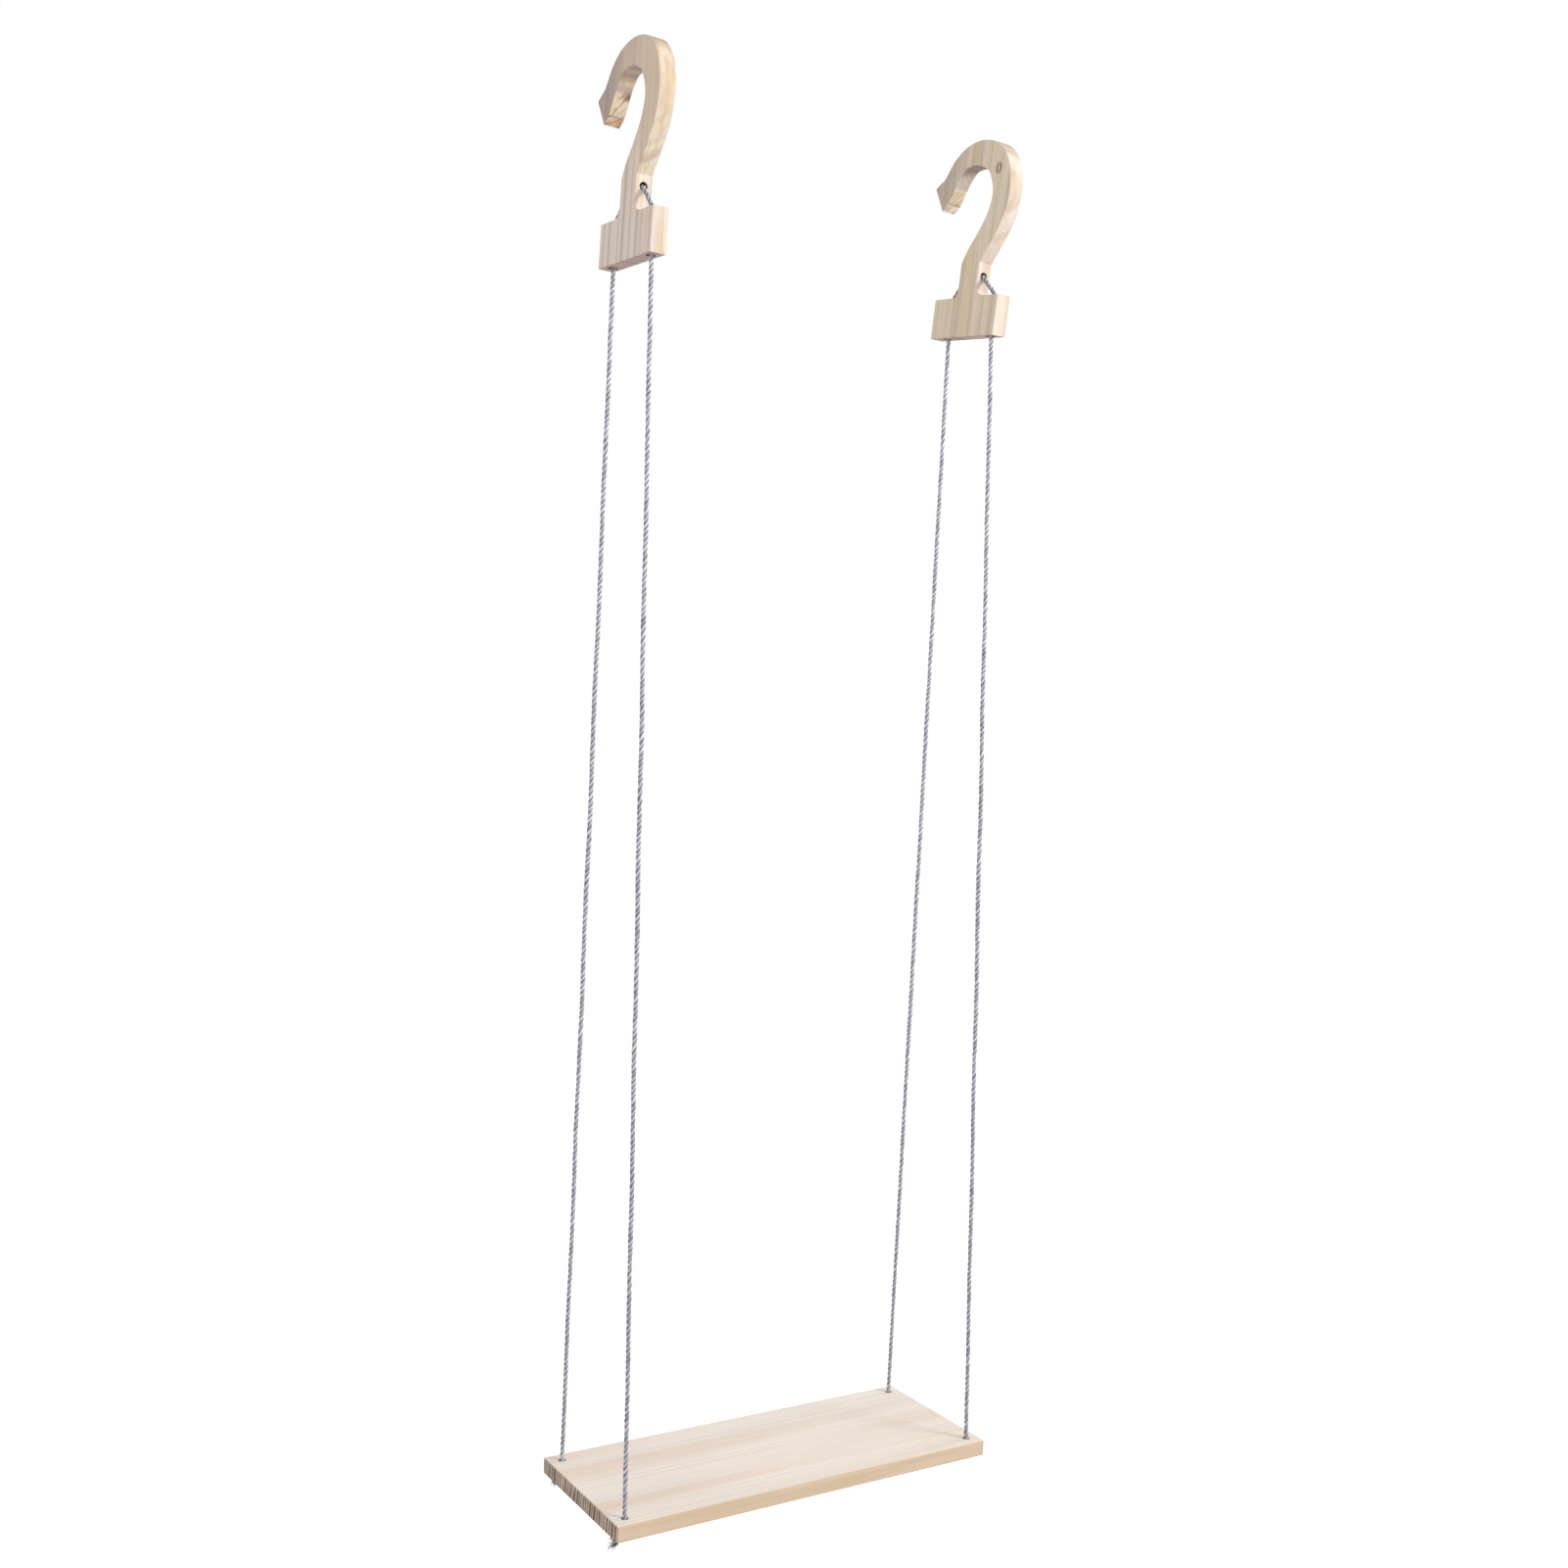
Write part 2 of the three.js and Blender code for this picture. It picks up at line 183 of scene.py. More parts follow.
# Cotton, with as many yarns to a strand, and turns of them to a millimetre along it. The spans of
# height are in metres.
YARNS_IN_STRAND = 5.0
YARN_TURNS = -0.42
COTTON_COLOURS = {
    # The second colour of each is painted shade in the lay's valleys
    "cotton_rope": {"crown": (226, 226, 235), "valley_shade": (106, 105, 116)},
    # Painted shade darkens the frayed tails, which hang under the board
    "cotton_frayed_painted_shade": {"crown": (126, 114, 115), "valley_shade": (76, 66, 69)},
}
COTTON_LINT_SCALE = {"around": 14.0, "along": 0.8}
COTTON_PATCH_SCALE = {"along": 0.11, "strand": 1.3}
COTTON_VALLEY_SHADE_SCALE = 0.06
COTTON_VALLEY_SHADE_SEED = 7.0
COTTON_NOISES = {"lint": {"detail": 3.0, "roughness": 0.65}, "patch": {"detail": 1.0}, "painted_shade": {}}
COTTON_SPANS = {
    # Painted shade in the lay's valleys, varied along the rope by a noise
    "valley_shade": (0.0, 0.9, 1.0, 0.0),
    "painted_shade": (0.3, 0.7, 0.55, 1.0),
    "yarn": (-1.0, 1.0, 0.92, 1.04),
    "lint": (0.3, 0.7, -0.12, 0.12),
    "patch": (0.3, 0.7, -0.40, 0.24),
    # Painted light and shade: the rope lighter high up and darker towards the board
    "height": (-1.2, -0.35, 0.84, 1.10),
    "in_hook": (-0.17, -0.14, 1.0, 0.78),
}
COTTON_SURFACE = {
    "Roughness": 0.92, "Specular IOR Level": 0.15, "Sheen Weight": 0.2, "Sheen Roughness": 0.5,
}
COTTON_RELIEF = {"yarn": 0.5, "lint": 0.7}
COTTON_BUMP = 0.6
BUMP_DEPTH = 0.15 * MM

# Pine. The scales of its noises are per millimetre: across, across and along the grain.
PINE_SCALES = {
    "ripple": (0.04, 0.04, 0.008),
    "fibre": (1.5, 1.5, 0.022),
    "mottle": (0.02, 0.02, 0.012),
    "duct": (2.4, 2.4, 0.13),
    "pores": (2.6, 2.6, 0.4),
    "patch": (0.05, 0.05, 0.05),
}
PINE_NOISES = {
    "drift": {"detail": 1.0, "output": "Color"},
    "ripple": {"detail": 1.0, "output": "Color"},
    "fibre": {"detail": 3.0, "roughness": 0.6},
    "streak": {"detail": 3.0},
    "broad": {"detail": 1.0},
    "mottle": {},
    "duct": {"detail": 0.0},
    "edge_streak": {"detail": 3.0, "roughness": 0.55},
    "pores": {"roughness": 0.7},
    "patch": {"detail": 1.0},
}
PINE_SPANS = {
    "facing": (0.35, 0.75),
    "ring": (0.0, 1.0, 0.35, 1.0),
    "band": (0.42, 0.68),
    "fibre": (0.25, 0.75, 0.955, 1.045),
    "mottle": (0.3, 0.7, -0.02, 0.02),
    "streak": (0.3, 0.7),
    "duct": (0.70, 0.78, 0.0, 0.10),
    "edge_band": (0.4, 0.62),
    "knot_rim": (0.1, 0.5, 1.0, 0.0),
    "knot_arc": (0.15, 0.8, 0.3, 1.0),
    "knot_core": (0.2, 1.1, 0.4, 0.0),
    "cut_across": (0.55, 0.98),
    "patch": (0.35, 0.7, -0.15, 0.25),
    "pores": (0.3, 0.7, 1.06, 0.9),
    "roughness": (0.0, 1.0, 0.66, 0.54),
}
NOISE_TO_CENTRE = (-0.5, -0.5, -0.5)
UNEVEN_SCALE = 0.06
UNEVEN_DETAIL = 1.0
UNEVEN_YEARS = 2.4
RAMP_MIDDLE = 0.5
SEASON_STOPS = [
    (0.0, 0.15), (0.1, 0.0), (0.42, 0.04), (0.62, 0.6), (0.8, 1.0), (0.93, 0.85), (1.0, 0.15),
]
PIN_KNOT_RIM_SHARE = 0.9
END_LATE_SHARE = 1.45
PINE_SPECULAR = 0.3
PINE_RELIEF = {"late": 0.5, "fibre": 0.8}
PINE_BUMP = 0.3
# Colour of the painted shade in the drilled holes
HOLE_SHADE = (80, 57, 44)

# Walls of the drilled holes, in millimetres, up to a top along the grain. Painted shade lies on
# them and round their mouths.
BORE_WALL = {"radius": 4.0, "top": 42.0, "lip": 1.4}
CROSS_HOLE_WALL = {"radius": 3.4, "top": 80.0, "lip": 0.4}
BOARD_HOLE_WALL = {"radius": 2.8, "top": 200.0, "lip": 0.4}

# The tip's limb, in millimetres of the hook's own frame. Spans named for the crease or the end are
# measured up from it, and those of the arris and the painted shade in the crease either way.
TIP_SPANS = {
    "arch_faces": (-25.0, 10.0, 0.0, 0.3),
    "limb_faces": (20.0, 52.0, 0.0, 0.7),
    "faces_up": (110.0, 135.0),
    "inside_from_crease": (0.0, 4.0),
    "inside_facing_down": (-0.1, 0.2, 1.0, 0.0),
    "inside_limb": (8.0, 26.0, 0.35, 1.0),
    "inside_arch": (-22.0, -8.0),
    "inside_far_from_crease": (4.0, 11.0),
    "cloud": (0.3, 0.7, 0.85, 1.1),
    "cut_facing": (-0.3, -0.1, 1.0, 0.0),
    "sawn_across": (34.0, 36.0),
    "sawn_from_crease": (-1.0, 1.5, 1.0, 0.0),
    "sawn_up": (119.0, 122.0),
    "streaks": (0.48, 0.62),
    "rings": (0.42, 0.62),
    "end_from_end": (-0.3, 0.3, 1.0, 0.0),
    "arris_from_end": (0.3, 0.9, 0.5, 0.0),
    "crease_shade_from_crease": (0.4, 5.0, 1.0, 0.0),
    "crease_shade_right": (-3.0, 6.0),
    "crease_shade_across": (20.0, 26.0),
}
TIP_CLOUD_SCALE = (0.11, 0.11, 0.05)
TIP_CUT_TILT = 0.7
TIP_STREAK_SLANT = {"thick": 0.55, "long": -0.32}
TIP_STREAK_DRAW = 0.06
TIP_STREAK_ROUGHNESS = 0.6
TIP_STREAK_SHARE = 0.8
TIP_RING_SLANT = {"thick": 0.42, "wide": 0.5}
TIP_RING_DRAW = 0.1
# Colour of the brown painted shade in the tip's crease
TIP_CREASE_SHADE = (120, 84, 62)

# The pieces' own looks, in millimetres. A warm zone has four places along the grain, between which
# it rises, stays and fades, and its amount. A stripe has its place across, its slope, its half
# width, its fringe, its amount and its colour.
BOARD_LOOK = {
    "grain": "X", "seed": (37.0, 53.0, 71.0), "pith": (-520.0, -60.0),
    "ring": 4.9, "drift": 18.0, "ripple": 5.0, "streak": 0.03, "band_share": 0.75,
    "scales": {
        "drift": (0.008, 0.008, 0.0012), "streak": (0.1, 0.1, 0.003),
        "broad": (0.03, 0.03, 0.0016), "edge_streak": (0.1, 0.3, 0.011),
    },
    "early": (243, 232, 220), "late": (233, 216, 201), "band": (230, 207, 184),
    "end_light": (212, 190, 167), "end_dark": (88, 64, 50),
    "edge_axis": 0, "edge_tint": (0.79, 0.69, 0.56), "edge_band": (0.75, 0.64, 0.49),
    "warm_zones": [], "stripes": [], "pin_knot": None, "tip": None,
}
LEFT_LOOK = {
    "grain": "Z", "seed": (74.0, 106.0, 142.0), "pith": (-60.0, -170.0),
    "ring": 12.5, "drift": 16.0, "ripple": 2.2, "streak": 0.07, "band_share": 0.35,
    "scales": {
        "drift": (0.011, 0.011, 0.0024), "streak": (0.42, 0.42, 0.006),
        "broad": (0.045, 0.045, 0.004), "edge_streak": (0.18, 0.05, 0.012),
    },
    "early": (246, 229, 213), "late": (213, 190, 172), "band": (228, 202, 172),
    "end_light": (200, 179, 164), "end_dark": (166, 140, 126),
    "edge_axis": 1, "edge_tint": (1.08, 1.14, 1.17), "edge_band": (0.97, 0.93, 0.82),
    "warm_zones": [(40.0, 125.0, 400.0, 500.0, 0.7)],
    "stripes": [], "pin_knot": None,
    # The tip's grey tint and its brown in the crease are painted shade
    "tip": {
        "crease": 146.0, "end": 130.6, "streak_seed": 4.0,
        "painted_shade": (0.63, 0.63, 0.71), "inside": 1.0, "inside_far": 0.0, "crease_shade": 0.9,
        "sawn_light": (240, 218, 190), "sawn_dark": (160, 122, 88),
        "end_light": (238, 211, 184), "end_dark": (180, 138, 106),
    },
}
RIGHT_LOOK = {
    **LEFT_LOOK, "seed": (111.0, 159.0, 213.0), "pith": (-70.0, -230.0),
    "ring": 13.5, "streak": 0.09, "band_share": 0.5,
    "scales": {**LEFT_LOOK["scales"], "broad": (0.07, 0.07, 0.003)},
    "early": (244, 226, 203), "late": (220, 196, 165), "band": (229, 210, 172),
    "edge_tint": (1.01, 1.06, 1.19), "edge_band": (0.99, 0.98, 1.07),
    "warm_zones": [(45.0, 70.0, 90.0, 125.0, 0.4), (-20.0, -10.0, 34.0, 46.0, 0.25)],
    "stripes": [
        (-4.5, 0.083, 3.0, 4.0, 0.75, (238, 215, 176)),
        (-10.5, 0.083, 0.4, 1.4, 0.45, (206, 182, 154)),
        (-19.0, 0.083, 0.9, 1.5, 0.55, (252, 236, 208)),
    ],
    "pin_knot": {
        "across": -26.6, "up": 155.6, "half_width": 3.1, "half_height": 4.4,
        "rim": (84, 46, 34), "core": (196, 152, 120),
    },
    # The tip's grey tint is painted shade
    "tip": {
        "crease": 142.0, "end": 130.6, "streak_seed": 9.0,
        "painted_shade": (0.70, 0.69, 0.69), "inside": 1.0, "inside_far": 1.0, "crease_shade": 0.0,
        "sawn_light": (232, 210, 182), "sawn_dark": (160, 124, 90),
        "end_light": (250, 238, 222), "end_dark": (214, 188, 166),
    },
}

# Stage
FLOOR_DROP = 2.6
FLOOR_SIZE = 16.0
FLOOR_COLOUR = (236, 236, 236)
FLOOR_GLOW = 0.62
ROOM_LIGHT = 0.70
ROOM_TINT = (0.97, 0.985, 1.03)
WHITE = (1, 1, 1)
MIDDLE = (0.0, 0.0, -0.6)
LAMPS = {
    "key": {"place": (2.34, -3.0, 0.85), "size": 1.3, "power": 90.0, "colour": (1.0, 0.98, 0.94)},
    "window": {"place": (2.5, 0.2, 0.2), "size": 0.35, "power": 9.0, "colour": (1.0, 0.98, 0.93)},
}

NEARLY_PARALLEL = 0.1
TINY = 1e-9
rope_seat = ROPE_DIAMETER / 2 + REST_GAP
bore_slack = BORE / 2 - rope_seat
random = np.random.default_rng(seed=7)


def new_object(name, data):
    made = bpy.data.objects.new(name, data)
    bpy.context.scene.collection.objects.link(made)
    return made


def smooth_piece(name, mesh, material):
    mesh.polygons.foreach_set("use_smooth", [True] * len(mesh.polygons))
    mesh.materials.append(material)
    mesh.update()
    return new_object(name, mesh)


def make_piece(name, vertices, faces, material):
    mesh = bpy.data.meshes.new(name)
    mesh.from_pydata([tuple(v) for v in vertices], [], [tuple(f) for f in faces])
    return smooth_piece(name, mesh, material)


def set_attributes(piece, **attributes):
    """Gives every vertex numbers by name: one for all of them, or a list with one for each."""
    for name, values in attributes.items():
        numbers = np.ascontiguousarray(np.broadcast_to(values, len(piece.data.vertices)), np.float32)
        piece.data.attributes.new(name, "FLOAT", "POINT").data.foreach_set("value", numbers)


# Materials


def opaque(colour):
    return (*colour, 1)


def paint(colour):
    """A colour written in the 0 to 255 of a picture, as the shader takes it: the sRGB curve."""
    shares = [channel / 255 for channel in colour]
    return opaque(s / 12.92 if s <= 0.04045 else ((s + 0.055) / 1.055) ** 2.4 for s in shares)


def measured_from(level, span):
    """A span measured up from a level, as places in the piece's own frame."""
    low, high, *amounts = span
    return level + low, level + high, *amounts


class Nodes:
    """The node tree of a material or a world, with short calls for the nodes that they use."""

    def __init__(self, owner):
        owner.use_nodes = True
        self.owner = owner
        self.tree = owner.node_tree

    def put(self, socket, value):
        if isinstance(value, bpy.types.NodeSocket):
            self.tree.links.new(value, socket)
        else:
            socket.default_value = value

    def node(self, kind, settings=None, **inputs):
        made = self.tree.nodes.new(kind)
        for key, value in (settings or {}).items():
            setattr(made, key, value)
        for key, value in inputs.items():
            self.put(made.inputs[key.replace("_", " ")], value)
        return made

    def math(self, operation, *values):
        made = self.node("ShaderNodeMath", {"operation": operation})
        for socket, value in zip(made.inputs, values):
            self.put(socket, value)
        return made.outputs["Value"]

    def product(self, first, *others):
        for other in others:
            first = self.math("MULTIPLY", first, other)
        return first

    def total(self, first, *others):
        for other in others:
            first = self.math("ADD", first, other)
        return first

    def apart(self, value, level):
        return self.math("ABSOLUTE", self.math("SUBTRACT", value, level))

    def vector(self, operation, *values):
        made = self.node("ShaderNodeVectorMath", {"operation": operation})
        for socket, value in zip(made.inputs, values):
            self.put(socket, value)
        return made.outputs["Value" if operation == "LENGTH" else "Vector"]

    def scaled(self, vector, scale):
        return self.vector("MULTIPLY", vector, scale)

    def combine(self, x, y, z=0.0):
        return self.node("ShaderNodeCombineXYZ", X=x, Y=y, Z=z).outputs["Vector"]

    def parts(self, vector):
        made = self.node("ShaderNodeSeparateXYZ", Vector=vector)
        return [made.outputs[axis] for axis in "XYZ"]

    def attribute(self, name):
        return self.node("ShaderNodeAttribute", {"attribute_name": name}).outputs["Fac"]

    def noise(self, vector, detail=2.0, roughness=0.5, output="Fac"):
        made = self.node("ShaderNodeTexNoise", Vector=vector, Scale=1.0, Detail=detail, Roughness=roughness)
        return made.outputs[output]

    def ramp(self, value, stops):
        made = self.node("ShaderNodeValToRGB", Fac=value)
        made.color_ramp.interpolation = "EASE"
        elements = made.color_ramp.elements
        while len(elements) < len(stops):
            elements.new(RAMP_MIDDLE)
        for element, (position, level) in zip(elements, stops):
            element.position = position
            element.color = opaque((level, level, level))
        return made.outputs["Color"]

    def mix(self, factor, first, second, blend="MIX", clamp=True):
        made = self.node("ShaderNodeMix", {"data_type": "RGBA", "blend_type": blend, "clamp_result": clamp})
        self.put(made.inputs["Factor"], factor)
        for name, value in (("A", first), ("B", second)):
            self.put(next(s for s in made.inputs if s.name == name and s.type == "RGBA"), value)
        return next(s for s in made.outputs if s.type == "RGBA")

    def tinted(self, colour, tint):
        return self.mix(1.0, colour, tint, "MULTIPLY")

    def toned(self, colour, tone):
        return self.tinted(colour, self.combine(tone, tone, tone))

    def spread(self, value, low, high, to_low=0.0, to_high=1.0, smooth=False):
        kind = {"interpolation_type": "SMOOTHSTEP" if smooth else "LINEAR"}
        made = self.node("ShaderNodeMapRange", kind)
        for socket, number in zip(made.inputs, (value, low, high, to_low, to_high)):
            self.put(socket, number)
        return made.outputs["Result"]

    def bump(self, height, strength):
        made = self.node("ShaderNodeBump", Height=height, Strength=strength, Distance=BUMP_DEPTH)
        return made.outputs["Normal"]

    def surfaced(self, settings):
        """The material, with its shader's sockets set by name to numbers, colours or other nodes."""
        shader = self.tree.nodes["Principled BSDF"]
        for socket, value in settings.items():
            self.put(shader.inputs[socket], value)
        return self.owner


def turned_to(n, part):
    """1 on the faces that are turned to an axis, by the normal's part along it, and 0 on others."""
    return n.spread(n.math("ABSOLUTE", part), *PINE_SPANS["facing"], smooth=True)


def growth_rings(n, at, noises, look):
    """How late in its year the wood at a place grew, plain and weighed by the strength of its ring.
    The rings drift slowly along the grain, with small ripples."""
    bent = at
    for kind in ("drift", "ripple"):
        offset = n.vector("ADD", noises[kind], NOISE_TO_CENTRE)
        bent = n.vector("ADD", bent, n.scaled(offset, (look[kind], look[kind], 0.0)))
    from_pith = n.scaled(n.vector("SUBTRACT", bent, (*look["pith"], 0.0)), (1.0, 1.0, 0.0))
    radius = n.vector("LENGTH", from_pith)
    uneven = n.noise(n.combine(n.product(radius, UNEVEN_SCALE), look["seed"][0]), UNEVEN_DETAIL)
    years = n.total(n.math("DIVIDE", radius, look["ring"]), n.product(uneven, UNEVEN_YEARS))
    late = n.ramp(n.math("FRACT", years), SEASON_STOPS)
    ring_tone = n.node("ShaderNodeTexWhiteNoise", {"noise_dimensions": "1D"}, W=n.math("FLOOR", years))
    return late, n.product(late, n.spread(ring_tone.outputs["Value"], *PINE_SPANS["ring"]))


def long_grain(n, long, late_amount, noises, look):
    """Rings, broad warm bands, and fibres, streaks and short resin ducts drawn out along the grain."""
    colour = n.mix(late_amount, paint(look["early"]), paint(look["late"]))
    warmth = n.spread(noises["broad"], *PINE_SPANS["band"], 0.0, look["band_share"], smooth=True)
    for low, full, far, high, share in look["warm_zones"]:
        rise = n.spread(long, low, full, 0.0, share, smooth=True)
        fall = n.spread(long, far, high, 1.0, 0.0, smooth=True)
        warmth = n.math("MAXIMUM", warmth, n.product(rise, fall))
    colour = n.mix(warmth, colour, paint(look["band"]))
    tone = n.total(
        n.spread(noises["fibre"], *PINE_SPANS["fibre"]),
        n.spread(noises["mottle"], *PINE_SPANS["mottle"]),
        n.spread(noises["streak"], *PINE_SPANS["streak"], -look["streak"], look["streak"]))
    tone = n.math("SUBTRACT", tone, n.spread(noises["duct"], *PINE_SPANS["duct"]))
    return n.toned(colour, tone)


def edges_and_stripes(n, colour, place, facing, noises, look):
    """The sawn edges, square to the broad faces, have a colour of their own. The broad faces of some
    pieces carry a few straight stripes."""
    _, wide, long = place
    edgewise = turned_to(n, facing[look["edge_axis"]])
    flatwise = n.math("SUBTRACT", 1.0, edgewise)
    for across, rise, half_width, fringe, share, tint in look["stripes"]:
        aside = n.apart(wide, n.total(across, n.product(long, rise)))
        stripe = n.spread(aside, half_width, half_width + fringe, share, 0.0, smooth=True)
        colour = n.mix(n.product(stripe, flatwise), colour, paint(tint))
    banded = n.spread(noises["edge_streak"], *PINE_SPANS["edge_band"], smooth=True)
    edge_tint = n.mix(banded, opaque(look["edge_tint"]), opaque(look["edge_band"]), clamp=False)
    return n.mix(edgewise, colour, n.tinted(colour, edge_tint))


def pin_knotted(n, colour, place, knot):
    """A small round knot with a pale core and a dark rim, which is strongest at its two sides."""
    _, wide, long = place
    aside = n.math("DIVIDE", n.math("SUBTRACT", wide, knot["across"]), knot["half_width"])
    above = n.math("DIVIDE", n.math("SUBTRACT", long, knot["up"]), knot["half_height"])
    ring = n.vector("LENGTH", n.combine(aside, above))
    rim = n.spread(n.apart(ring, 1.0), *PINE_SPANS["knot_rim"], smooth=True)
    arc = n.product(rim, n.spread(n.math("ABSOLUTE", aside), *PINE_SPANS["knot_arc"]))
    core = n.spread(ring, *PINE_SPANS["knot_core"], smooth=True)
    colour = n.mix(core, colour, paint(knot["core"]))
    return n.mix(n.product(arc, PIN_KNOT_RIM_SHARE), colour, paint(knot["rim"]))


def end_grained(n, colour, facing, late_amount, noises, look):
    """Cut across its fibres the wood drinks light: it is darker and redder there."""
    cut_across = n.spread(n.math("ABSOLUTE", facing[2]), *PINE_SPANS["cut_across"], smooth=True)
    patch = n.spread(noises["patch"], *PINE_SPANS["patch"])
    end_share = n.total(n.product(late_amount, END_LATE_SHARE), patch)
    end_tone = n.mix(end_share, paint(look["end_light"]), paint(look["end_dark"]))
    return n.mix(cut_across, colour, n.toned(end_tone, n.spread(noises["pores"], *PINE_SPANS["pores"])))


def tip_painted_shade(n, colour, seeded, place, facing, tip):
    """Painted shade on the tip's limb, which is greyer on the broad faces and inside the arch."""
    _, wide, long = place
    broad = turned_to(n, facing[0])
    edge = n.math("SUBTRACT", 1.0, broad)
    fade = n.total(
        n.spread(wide, *TIP_SPANS["arch_faces"], smooth=True),
        n.spread(wide, *TIP_SPANS["limb_faces"], smooth=True))
    fade = n.product(fade, n.spread(long, *TIP_SPANS["faces_up"], smooth=True))
    start = measured_from(tip["crease"], TIP_SPANS["inside_from_crease"])
    far = measured_from(tip["crease"], TIP_SPANS["inside_far_from_crease"])
    inside = n.product(
        n.spread(long, *start, smooth=True),
        n.spread(facing[2], *TIP_SPANS["inside_facing_down"]),
        n.spread(wide, *TIP_SPANS["inside_limb"], smooth=True),
        n.spread(wide, *TIP_SPANS["inside_arch"], smooth=True),
        n.spread(long, *far, tip["inside"], tip["inside_far"], smooth=True))
    # Painted shade on the limb's broad faces and on its inner face above the crease
    painted_shade = n.total(n.product(broad, fade), n.product(edge, inside))
    cloud = n.noise(n.scaled(seeded, TIP_CLOUD_SCALE))
    painted_shade = n.product(painted_shade, n.spread(cloud, *TIP_SPANS["cloud"]))
    return n.mix(painted_shade, colour, n.tinted(colour, opaque(tip["painted_shade"])))


def tip_freshly_sawn(n, place, tip):
    """Pale wood with slanting brown streaks on the facet, rings on the end and a dark arris between."""
    thick, wide, long = place
    slant = n.total(
        n.product(thick, TIP_STREAK_SLANT["thick"]), n.product(long, TIP_STREAK_SLANT["long"]))
    drawn = n.combine(slant, n.product(long, TIP_STREAK_DRAW), tip["streak_seed"])
    streaks = n.spread(n.noise(drawn, roughness=TIP_STREAK_ROUGHNESS), *TIP_SPANS["streaks"], smooth=True)
    facet = n.mix(n.product(streaks, TIP_STREAK_SHARE), paint(tip["sawn_light"]), paint(tip["sawn_dark"]))
    slant = n.total(n.product(thick, TIP_RING_SLANT["thick"]), n.product(wide, TIP_RING_SLANT["wide"]))
    drawn = n.combine(slant, n.product(thick, TIP_RING_DRAW), tip["streak_seed"])
    rings = n.spread(n.noise(drawn), *TIP_SPANS["rings"], smooth=True)
    end = n.mix(rings, paint(tip["end_light"]), paint(tip["end_dark"]))
    below = n.spread(long, *measured_from(tip["end"], TIP_SPANS["end_from_end"]))
    arris = n.spread(n.apart(long, tip["end"]), *TIP_SPANS["arris_from_end"])
    return n.mix(arris, n.mix(below, facet, end), paint(tip["sawn_dark"]))


def tip_coloured(n, colour, seeded, place, facing, tip):
    """The tip's limb: painted shade, freshly sawn on the facet below the crease, and brown painted
    shade in the crease, at the limb's right edge."""
    thick, wide, long = place
    colour = tip_painted_shade(n, colour, seeded, place, facing, tip)
    edge = n.math("SUBTRACT", 1.0, turned_to(n, facing[0]))
    outward = n.total(facing[1], n.product(facing[2], TIP_CUT_TILT))
    cut = n.product(edge, n.spread(outward, *TIP_SPANS["cut_facing"]))
    sawn = n.product(
        cut,
        n.spread(wide, *TIP_SPANS["sawn_across"]),
        n.spread(long, *measured_from(tip["crease"], TIP_SPANS["sawn_from_crease"])),
        n.spread(long, *TIP_SPANS["sawn_up"]))
    colour = n.mix(sawn, colour, tip_freshly_sawn(n, place, tip))
    # Brown painted shade in the crease, at the limb's right edge
    crease_shade = n.product(
        n.spread(n.apart(long, tip["crease"]), *TIP_SPANS["crease_shade_from_crease"], smooth=True),
        n.spread(thick, *TIP_SPANS["crease_shade_right"]),
        n.spread(wide, *TIP_SPANS["crease_shade_across"]),
        cut, tip["crease_shade"])
    return n.mix(crease_shade, colour, paint(TIP_CREASE_SHADE))


def hole_wall(n, place, hole):
    """1 on the wall of a drilled hole, which runs along one axis, and 0 elsewhere."""
    across = [axis for axis in range(3) if axis != hole["axis"]]
    offsets = [n.math("SUBTRACT", place[axis], centre) for axis, centre in zip(across, hole["centre"])]
    reach = n.vector("LENGTH", n.combine(*offsets))
    wall = n.spread(reach, hole["radius"], hole["radius"] + hole["lip"], 1.0, 0.0)
    return n.product(wall, n.spread(place[2], hole["top"], hole["top"] + hole["lip"], 1.0, 0.0))


def pine_material(name, look, holes):
    """Pine: growth rings round a pith that runs along the grain, fibres drawn out along it, and end
    grain where it is cut across. The material works in millimetres in the piece's own frame, turned
    so that the grain is its third axis."""
    n = Nodes(bpy.data.materials.new(name))
    texture_space = n.node("ShaderNodeTexCoord").outputs
    own, facing = n.parts(texture_space["Object"]), n.parts(texture_space["Normal"])
    if look["grain"] == "X":
        own, facing = own[1:] + own[:1], facing[1:] + facing[:1]
    place = [n.product(part, 1 / MM) for part in own]
    at = n.combine(*place)
    seeded = n.vector("ADD", at, look["seed"])
    scales = {**PINE_SCALES, **look["scales"]}
    noises = {
        kind: n.noise(n.scaled(seeded, scales[kind]), **settings) for kind, settings in PINE_NOISES.items()
    }

    late, late_amount = growth_rings(n, at, noises, look)
    colour = long_grain(n, place[2], late_amount, noises, look)
    colour = edges_and_stripes(n, colour, place, facing, noises, look)
    if look["pin_knot"]:
        colour = pin_knotted(n, colour, place, look["pin_knot"])
    colour = end_grained(n, colour, facing, late_amount, noises, look)
    if look["tip"]:
        colour = tip_coloured(n, colour, seeded, place, facing, look["tip"])
    # Painted shade on the walls of the holes and round their mouths
    for hole in holes:
        colour = n.mix(hole_wall(n, place, hole), colour, paint(HOLE_SHADE))

    relief = n.total(n.product(late, PINE_RELIEF["late"]), n.product(noises["fibre"], PINE_RELIEF["fibre"]))
    return n.surfaced({
        "Base Color": colour,
        "Roughness": n.spread(late_amount, *PINE_SPANS["roughness"]),
        "Specular IOR Level": PINE_SPECULAR,
        "Normal": n.bump(relief, PINE_BUMP),
    })


